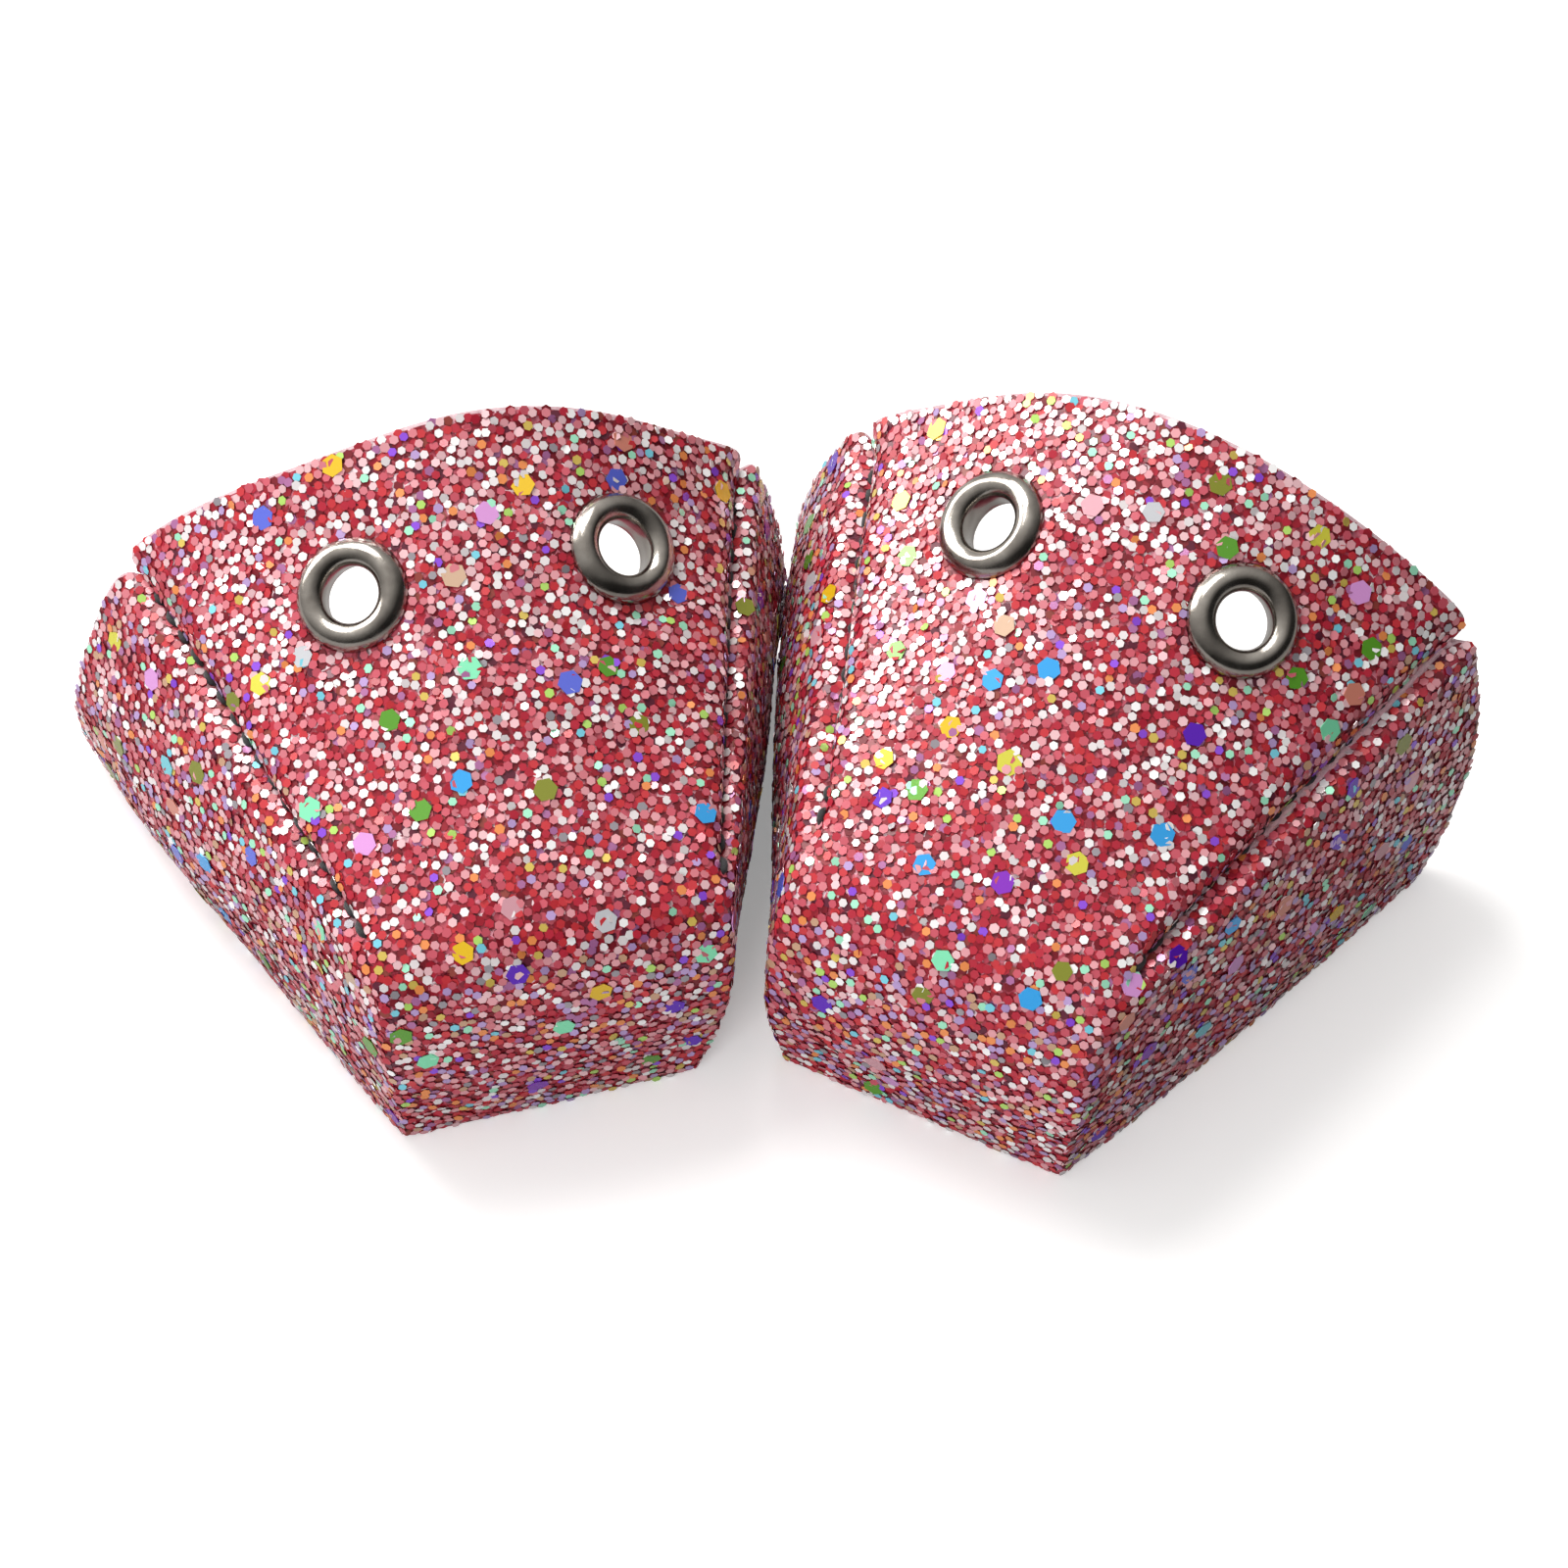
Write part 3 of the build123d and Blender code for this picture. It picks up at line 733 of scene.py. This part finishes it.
def hex_flakes(name, pos, nrm, across, thick, lift, tilt, kinds, mats, rng, hand):
    """Hexagonal prisms lying on the leather, each with its own small tilt."""
    count, sides = len(pos), 6
    ref = np.where(np.abs(nrm[:, 2:3]) < 0.9, [[0, 0, 1.0]], [[1.0, 0, 0]])
    t1 = unit_rows(np.cross(nrm, ref))
    t2 = np.cross(nrm, t1)
    angle = rng.random(count) * 2 * math.pi
    lean = np.cos(angle)[:, None] * t1 + np.sin(angle)[:, None] * t2
    axis = unit_rows(nrm + lean * np.tan(tilt)[:, None])
    e1 = unit_rows(np.cross(axis, t2))
    e2 = np.cross(axis, e1)
    spin = rng.random(count) * math.pi / 3
    radius = across / math.sqrt(3)
    verts = np.empty((count, 2 * sides, 3))
    for s in range(sides):
        a = spin + 2 * math.pi * s / sides
        ring = (np.cos(a) * radius)[:, None] * e1 + (np.sin(a) * radius)[:, None] * e2
        verts[:, s] = pos + axis * lift[:, None] + ring
        verts[:, s + sides] = verts[:, s] - axis * thick
    walls = [np.array([(s + 1) % sides, s, s + sides, (s + 1) % sides + sides])
             for s in range(sides)]
    loops = np.concatenate([np.arange(sides), np.arange(2 * sides - 1, sides - 1, -1)] + walls)
    totals = np.array([sides, sides] + [4] * sides)
    all_loops = (np.arange(count)[:, None] * 2 * sides + loops[None, :]).ravel()
    all_totals = np.tile(totals, count)
    starts = np.concatenate([[0], np.cumsum(all_totals)[:-1]])
    me = bpy.data.meshes.new(name)
    me.vertices.add(count * 2 * sides)
    me.vertices.foreach_set("co", verts.ravel())
    me.loops.add(len(all_loops))
    me.loops.foreach_set("vertex_index", all_loops.astype(np.int32))
    me.polygons.add(len(all_totals))
    me.polygons.foreach_set("loop_start", starts.astype(np.int32))
    me.polygons.foreach_set("material_index", np.repeat(kinds, len(totals)).astype(np.int32))
    me.polygons.foreach_set("use_smooth", np.zeros(len(all_totals), bool))
    for mat in mats:
        me.materials.append(mat)
    me.update(calc_edges=True)
    me.validate()
    obj = bpy.data.objects.new(name, me)
    bpy.context.scene.collection.objects.link(obj)
    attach(obj, hand + "_guard")


def lay_flakes(name, layer, tilt, pos, nrm, names, kinds, rng, hand):
    """Draw each flake's size, lift and tilt (spread in degrees), then build them."""
    count = len(pos)
    mean, spread, least, most = layer.across
    across = rng.normal(mean, spread, count).clip(least, most) * MM
    lift = rng.uniform(*layer.lift, count) * MM
    tilts = np.abs(rng.normal(0, math.radians(tilt), count))
    hex_flakes(name, pos, nrm, across, layer.thick * MM, lift,
               tilts.clip(0, math.radians(layer.tilt_max)), kinds,
               [FLAKE_MATS[n] for n in names], rng, hand)


def paint_top_light_and_shade(guard, pos, names, kinds, rng):
    """Painted light and shade: swap tints so the top is paler toward the rear edge (painted
    light) and redder over the toe bend (painted shade).
    """
    turn = math.radians(guard.turn)
    back = (-math.sin(turn) * (pos[:, 0] / MM - guard.place[0])
            + math.cos(turn) * (pos[:, 1] / MM - guard.place[1])) / 58
    dark = [names.index(n) for n in ("crimson", "scarlet", "rose")]
    pale = [names.index(n) for n in ("pink_light", "silver", "white", "pink")]
    # The further a flake lies from the middle of the top, the likelier it is swapped: pale tints
    # paint light at the rear, dark tints paint shade over the toe bend.
    swap = rng.random(len(pos)) < np.abs(back - 0.5) * 0.9
    up = swap & (back > 0.5) & np.isin(kinds, dark)
    down = swap & (back < 0.5) & np.isin(kinds, pale)
    kinds[up] = rng.choice(pale, up.sum())
    kinds[down] = rng.choice(dark, down.sum())


def rim_tree(skin):
    """Search tree of the points and edge middles along the free edges."""
    edges = np.array(open_edges(skin.quads))
    middles = (skin.outer[edges[:, 0]] + skin.outer[edges[:, 1]]) / 2
    points = np.concatenate([skin.outer[np.unique(edges)], middles])
    tree = KDTree(len(points))
    for i, p in enumerate(points):
        tree.insert(p, i)
    tree.balance()
    return tree


def build_glitter(hand, guard, skin, rng):
    tree = rim_tree(skin)

    def near_seam(p, clearance):
        bad = np.zeros(len(p), bool)
        for sign, (line, _) in skin.seams.items():
            gap = 0.50 + 0.28 * (guard.wings[sign].groove - 0.8)
            for a, b in zip(line[1:-1], line[2:]):
                ab = b - a
                t = np.clip(((p - a) @ ab) / (ab @ ab), 0, 1)
                dist = np.linalg.norm(p - (a + t[:, None] * ab), axis=1)
                bad |= dist < (clearance + gap) * MM
        return bad

    def place(layer):
        def blocked(p):
            bad = near_seats(p, skin.seats, layer.seat, depth=4.0) | near_seam(p, layer.seam)
            for i in np.nonzero(~bad)[0]:
                bad[i] = tree.find(p[i])[2] < layer.rim * MM
            return bad
        return scatter(skin.outer, skin.quads[~skin.hole], skin.normals, layer.tries,
                       layer.gap * MM, rng, blocked)

    pos, nrm = place(UNDER_LAYER)
    names, kinds = draw_mix(UNDER, len(pos), rng)
    lay_flakes(f"{hand}_under_glitter", UNDER_LAYER, 6, pos, nrm, names, kinds, rng, hand)

    pos, nrm = place(OVER_LAYER)
    wall = nrm[:, 2] < WALL_NZ
    # Wall flakes take the wall mix: painted reflection and painted shade of flakes seen at a
    # slant.
    # (part, its flakes, colour mix, tilt spread in degrees)
    for part, mask, mix, tilt in (("top", ~wall, OVER_TOP, 11), ("wall", wall, OVER_WALL_PAINTED_SHIFT_AND_SHADE, 8)):
        names, kinds = draw_mix(mix, mask.sum(), rng)
        # Top flakes get painted light toward the rear and painted shade over the toe bend.
        if part == "top":
            paint_top_light_and_shade(guard, pos[mask], names, kinds, rng)
        lay_flakes(f"{hand}_{part}_glitter", OVER_LAYER, tilt, pos[mask], nrm[mask],
                   names, kinds, rng, hand)

    pos, nrm = place(BIG_LAYER)
    pos, nrm = pos[:BIG_COUNT], nrm[:BIG_COUNT]
    names, kinds = draw_mix(BIG_MIX, len(pos), rng)
    lay_flakes(f"{hand}_large_glitter", BIG_LAYER, 4, pos, nrm, names, kinds, rng, hand)


# ------------------------------------------------------------------ eyelets and washers
def closed_curve(points, steps=4):
    """Catmull-Rom through a closed list of (radius, height) points."""
    pts = np.array(points, float)
    out = []
    for i in range(len(pts)):
        p0, p1, p2, p3 = (pts[(i + k) % len(pts)] for k in (-1, 0, 1, 2))
        for s in range(steps):
            t = s / steps
            out.append(0.5 * ((2 * p1) + (-p0 + p2) * t + (2 * p0 - 5 * p1 + 4 * p2 - p3) * t * t
                              + (-p0 + 3 * p1 - 3 * p2 + p3) * t ** 3))
    return out


# Closed profiles: (radius, height above the seat)
EYELET = closed_curve([
    (3.62, -2.85), (3.52, -2.3), (3.34, -1.5), (3.14, -0.6), (3.03, 0.3), (3.10, 0.95),
    (3.56, 1.52), (4.38, 1.82), (5.22, 1.54), (5.80, 0.9), (6.06, 0.3), (6.05, 0.06),
    (5.85, 0.02), (5.45, 0.75), (4.5, 1.45), (3.9, 1.2), (3.62, 0.3), (3.66, -1.2),
    (3.74, -2.42), (3.95, -2.46), (4.35, -2.6), (4.42, -2.95), (4.15, -3.2), (3.8, -3.1)])
WASHER = closed_curve([
    (3.82, -2.02), (4.5, -2.02), (5.25, -2.03), (5.4, -2.15), (5.4, -2.3), (5.25, -2.4),
    (4.5, -2.42), (3.82, -2.41)])


def lathe(profile, segments, origin, axis):
    """Closed ring turned about an axis."""
    e1, e2 = cross_axes(axis, [1.0, 0, 0] if abs(axis[0]) < 0.9 else [0, 1.0, 0])
    k = len(profile)
    points, faces = [], []
    for s in range(segments):
        a = 2 * math.pi * s / segments
        radial = math.cos(a) * e1 + math.sin(a) * e2
        points += [origin + (radial * r + axis * z) * MM for r, z in profile]
        t = (s + 1) % segments
        for i in range(k):
            j = (i + 1) % k
            faces.append((s * k + i, s * k + j, t * k + j, t * k + i))
    return points, faces


def build_eyelets(hand, seats):
    # (object name ending, name ending of the piece replaced, profile, segments)
    parts = (("nickel_eyelet", "eyelet", EYELET, 112), ("back_washer", "washer", WASHER, 80))
    for where, (centre, axis) in zip(("outer", "inner"), seats):
        for name, replaced, profile, segments in parts:
            points, faces = lathe(profile, segments, centre, axis)
            obj = new_object(f"{hand}_{where}_{name}", points, faces, [MAT_NICKEL])
            register(obj, f"{hand}_{where}_{replaced}", hand)


# ------------------------------------------------------------------ stitches
STITCH_SHARES = (0, 0.25, 0.5, 0.75, 1.0)      # stations along one stitch


def capsule(path, radius, segments=8):
    """Closed tube along a short list of points with tapered ends."""
    path = np.array(path, float)
    points, faces = [], []
    last = len(path) - 1
    for i, p in enumerate(path):
        along = unit(path[min(i + 1, last)] - path[max(i - 1, 0)])
        a, b = cross_axes(along, [0, 0, 1.0] if abs(along[2]) < 0.9 else [1.0, 0, 0])
        r = radius * (0.45 if i in (0, last) else 1.0)
        for s in range(segments):
            w = 2 * math.pi * s / segments
            points.append(p + (math.cos(w) * a + math.sin(w) * b) * r)
    for i in range(last):
        for s in range(segments):
            t = (s + 1) % segments
            faces.append((i * segments + s, i * segments + t,
                          (i + 1) * segments + t, (i + 1) * segments + s))
    faces.append(tuple(range(segments - 1, -1, -1)))
    faces.append(tuple(last * segments + s for s in range(segments)))
    return points, faces


def add_thread(name, parts, replaced, hand):
    """All stitches of a seam as one object."""
    points, faces = [], []
    for part_points, part_faces in parts:
        start = len(points)
        points += part_points
        faces += [tuple(v + start for v in f) for f in part_faces]
    register(new_object(name, points, faces, [MAT_THREAD]), replaced, hand)


def build_seam_stitches(hand, skin, rng):
    """Slightly uneven stitches along the bottom of each seam groove."""
    length, radius, space = 2.2, 0.38, 0.55
    for sign, (line, normals) in skin.seams.items():
        steps = np.linalg.norm(np.diff(line, axis=0), axis=1)
        run = np.concatenate([[0], np.cumsum(steps)]) / MM

        def on_seam(dist, lift):
            p, up = (np.array([np.interp(dist, run, values[:, c]) for c in range(3)])
                     for values in (line, normals))
            return p + up / np.linalg.norm(up) * lift * MM

        parts = []
        start = 1.2
        while start < run[-1] - 2.6:
            this = length + 0.25 * rng.standard_normal()
            shift = rng.standard_normal(3) * 0.06 * MM
            path = [on_seam(start + this * u, 0.06 + 0.36 * math.sin(math.pi * u)) + shift
                    + rng.standard_normal(3) * 0.03 * MM for u in STITCH_SHARES]
            parts.append(capsule(path, radius * MM))
            start += this + space + 0.2 * abs(rng.standard_normal())
        side = "outer" if (hand == "left") == (sign < 0) else "inner"
        add_thread(f"{hand}_{side}_seam_stitches", parts, f"{hand}_{side}_seam_thread", hand)


# ------------------------------------------------------------------ sole
def sole_outline(guard):
    """Outline just inside the bottom rim, and its four corners."""
    inset, wing_steps, rear_steps = T_SHELL + 0.08, 40, 24

    def wing_rim(sign):
        """Toe to rear."""
        wing = guard.wings[sign]
        length = wing.rim_rear[1] - wing.rim_toe[1]
        slope = (wing.rim_rear[0] - wing.rim_toe[0]) / length
        out = []
        for q in np.linspace(inset / length, 0.995, wing_steps):
            v = wall_point(wing, sign, q, 0.0)
            out.append([v[0] - sign * inset * math.hypot(1, slope), v[1]])
        return out

    neg, plus = wing_rim(-1)[::-1], wing_rim(1)
    front = [front_point(guard, p, 0.0) for p in np.linspace(-0.88, 0.88, 15)]
    rim = neg + [[v[0], v[1] + inset] for v in front] + plus
    start, end = np.array(neg[0]), np.array(plus[-1])
    for i in range(1, rear_steps):
        t = i / rear_steps
        v = end * (1 - t) + start * t
        rim.append([v[0], v[1] - 0.6 * math.sin(math.pi * t)])
    return np.array(rim), [neg[0], neg[-1], plus[0], plus[-1]]


def ray_length(angle, outline):
    """Distance from the origin to a closed outline along an angle."""
    x, y = math.cos(angle), math.sin(angle)
    best = 1e9
    for p0, p1 in zip(outline, np.roll(outline, -1, axis=0)):
        e = p1 - p0
        den = x * e[1] - y * e[0]
        if abs(den) < 1e-9:
            continue
        t = (p0[0] * e[1] - p0[1] * e[0]) / den
        u = (p0[0] * y - p0[1] * x) / den
        if t > 0 and -1e-6 <= u <= 1 + 1e-6 and t < best:
            best = t
    return best


# Section of the sole panel: (share from stem hole to outline, z)
SOLE_SECTION = [
    (0.0, 0.02), (0.004, 0.0), (0.3, 0.0), (0.62, 0.0), (0.9, 0.0), (0.975, 0.0),
    (1.0, 0.12), (1.0, 0.8), (1.0, T_BASE - 0.12), (0.975, T_BASE), (0.9, T_BASE),
    (0.62, T_BASE), (0.3, T_BASE), (0.02, T_BASE), (0.0, T_BASE - 0.1), (0.0, 0.8)]


def build_sole(hand, guard):
    rim, corners = sole_outline(guard)
    hub = np.array([0.0, STEM_Y])
    angles = set(np.linspace(0, 2 * math.pi, 240, endpoint=False).tolist())
    for c in corners:
        angles.add(math.atan2(c[1] - hub[1], c[0] - hub[0]) % (2 * math.pi))
    angles = np.array(sorted(angles))
    count = len(angles)
    edge = np.array([ray_length(a, rim - hub) for a in angles])
    rings = []
    for t, z in SOLE_SECTION:
        x, y = (f(angles) * STEM_R * (1 - t) + f(angles) * edge * t for f in (np.cos, np.sin))
        rings.append(np.stack([x + hub[0], y + hub[1], np.full(count, z)], -1))
    faces = []
    for r in range(len(rings)):
        r2 = (r + 1) % len(rings)
        for s in range(count):
            t = (s + 1) % count
            faces.append((r * count + s, r2 * count + s, r2 * count + t, r * count + t))
    sole = new_object(hand + "_sole_panel", to_row(guard, np.concatenate(rings)), faces,
                      [MAT_SOLE])
    register(sole, hand + "_base_panel", hand)


def build_sole_stitches(hand, guard):
    """Stitches on both faces of the panel, their ends dipping into it."""
    length, pitch, radius, dip = 2.2, 3.0, 0.27, 0.22
    side_inset, front_inset = 4.0, T_SHELL + 2.6

    def side(sign, q0, q1):
        points = [wall_point(guard.wings[sign], sign, q, 0.0) for q in np.linspace(q0, q1, 60)]
        return [(v[0] - sign * side_inset, v[1]) for v in points]

    front = [front_point(guard, p, 0.0) for p in np.linspace(-0.72, 0.72, 30)]
    line = np.array(side(-1, 0.93, 0.06) + [(v[0], v[1] + front_inset) for v in front]
                    + side(1, 0.06, 0.93))
    run = np.concatenate([[0], np.cumsum(np.linalg.norm(np.diff(line, axis=0), axis=1))])
    parts = []
    start = 0.0
    while start < run[-1] - 3:
        for z, inward in ((0.30, 1), (T_BASE + 0.02, -1)):
            path = []
            for u in STITCH_SHARES:
                x, y = (np.interp(start + length * u, run, line[:, c]) for c in (0, 1))
                path.append([x, y, z + dip * (1 - math.sin(math.pi * u)) * inward])
            parts.append(capsule(to_row(guard, path), radius * MM))
        start += pitch
    add_thread(hand + "_sole_stitches", parts, hand + "_base_thread", hand)


for hand, guard in GUARDS.items():
    rng = np.random.default_rng(guard.detail_seed)
    skin = make_skin(hand, guard)
    build_shell(hand, guard, skin)
    build_lining(hand, guard, skin)
    build_glitter(hand, guard, skin, rng)
    build_eyelets(hand, skin.seats)
    build_seam_stitches(hand, skin, rng)
    build_sole(hand, guard)
    build_sole_stitches(hand, guard)


# ------------------------------------------------------------------ floor, world, lights, camera
def aim(obj, location, target):
    obj.location = location
    direction = Vector(target) - Vector(location)
    obj.rotation_euler = direction.to_track_quat("-Z", "Y").to_euler()


def build_floor():
    """Pale to the camera, greyer to the light it bounces back."""
    mat, nt, bsdf = new_mat("floor")
    bsdf.inputs["Roughness"].default_value = 0.85
    bsdf.inputs["Emission Color"].default_value = (1, 1, 1, 1)
    seen = node(nt, "ShaderNodeLightPath").outputs["Is Camera Ray"]
    ramp(nt, [(0.0, (0.42,) * 3), (1.0, (0.93,) * 3)], seen, bsdf.inputs["Base Color"])
    glow = node(nt, "ShaderNodeMath", operation="MULTIPLY")
    glow.inputs[1].default_value = 0.28        # emission strength seen by the camera
    nt.links.new(seen, glow.inputs[0])
    nt.links.new(glow.outputs[0], bsdf.inputs["Emission Strength"])
    bpy.ops.mesh.primitive_plane_add(size=6.0, location=(0, 0, -0.00003))
    floor = bpy.context.object
    floor.name = "floor"
    floor.data.materials.append(mat)


def build_world():
    """Dark surround, brightening toward the upper left rear."""
    world = bpy.data.worlds.new("world")
    bpy.context.scene.world = world
    world.use_nodes = True
    nt = world.node_tree
    background = nt.nodes["Background"]
    coords = node(nt, "ShaderNodeTexCoord")
    dot = node(nt, "ShaderNodeVectorMath", operation="DOT_PRODUCT")
    dot.inputs[1].default_value = (-0.46, 0.48, 0.75)      # bright direction
    nt.links.new(coords.outputs["Generated"], dot.inputs[0])
    stops = [(0.0, (0.012, 0.012, 0.013)), (0.45, (0.05, 0.049, 0.047)),
             (0.66, (0.38, 0.37, 0.36)), (1.0, (1.3, 1.28, 1.25))]
    share = node(nt, "ShaderNodeMapRange", **{"From Min": -1.0, "From Max": 1.0})
    nt.links.new(dot.outputs["Value"], share.inputs["Value"])
    ramp(nt, stops, share.outputs["Result"], background.inputs["Color"])
    background.inputs["Strength"].default_value = 0.75


def area(name, location, target, size, power, color):
    """Square area light."""
    light = bpy.data.lights.new(name, "AREA")
    light.energy = power
    light.color = color
    light.shape = "RECTANGLE"
    light.size = light.size_y = size
    obj = bpy.data.objects.new(name, light)
    aim(obj, location, target)
    bpy.context.scene.collection.objects.link(obj)
    return obj


def build_camera():
    elevation, distance = math.radians(60.0), 0.420
    target = Vector((0.001929, 0.009270, 0.0))
    data = bpy.data.cameras.new("camera")
    data.sensor_width = 36.0
    data.lens = 85.3902
    data.clip_start = 0.01
    camera = bpy.data.objects.new("camera", data)
    bpy.context.scene.collection.objects.link(camera)
    offset = Vector((0, -math.cos(elevation) * distance, math.sin(elevation) * distance))
    camera.location = target + offset
    aim(camera, camera.location, target)
    bpy.context.scene.camera = camera


build_floor()
build_world()
area("key", location=(-0.19, 0.33, 0.52), target=(0, 0, 0.02), size=0.34, power=3.7,
     color=(1.0, 0.985, 0.965))
front = area("front", location=(-0.29, -0.51, 0.22), target=(0, 0, 0.02), size=0.36, power=2.7,
             color=(0.99, 0.99, 1.0))
front.visible_glossy = False
card = area("card", location=(-0.48, 0.30, 0.27), target=(0, 0, 0.03), size=0.34, power=2.6,
            color=(1.0, 0.97, 0.92))
card.visible_diffuse = False
build_camera()

view = bpy.context.scene.view_settings
view.view_transform = "Standard"
view.look = "None"
view.exposure = 0.0
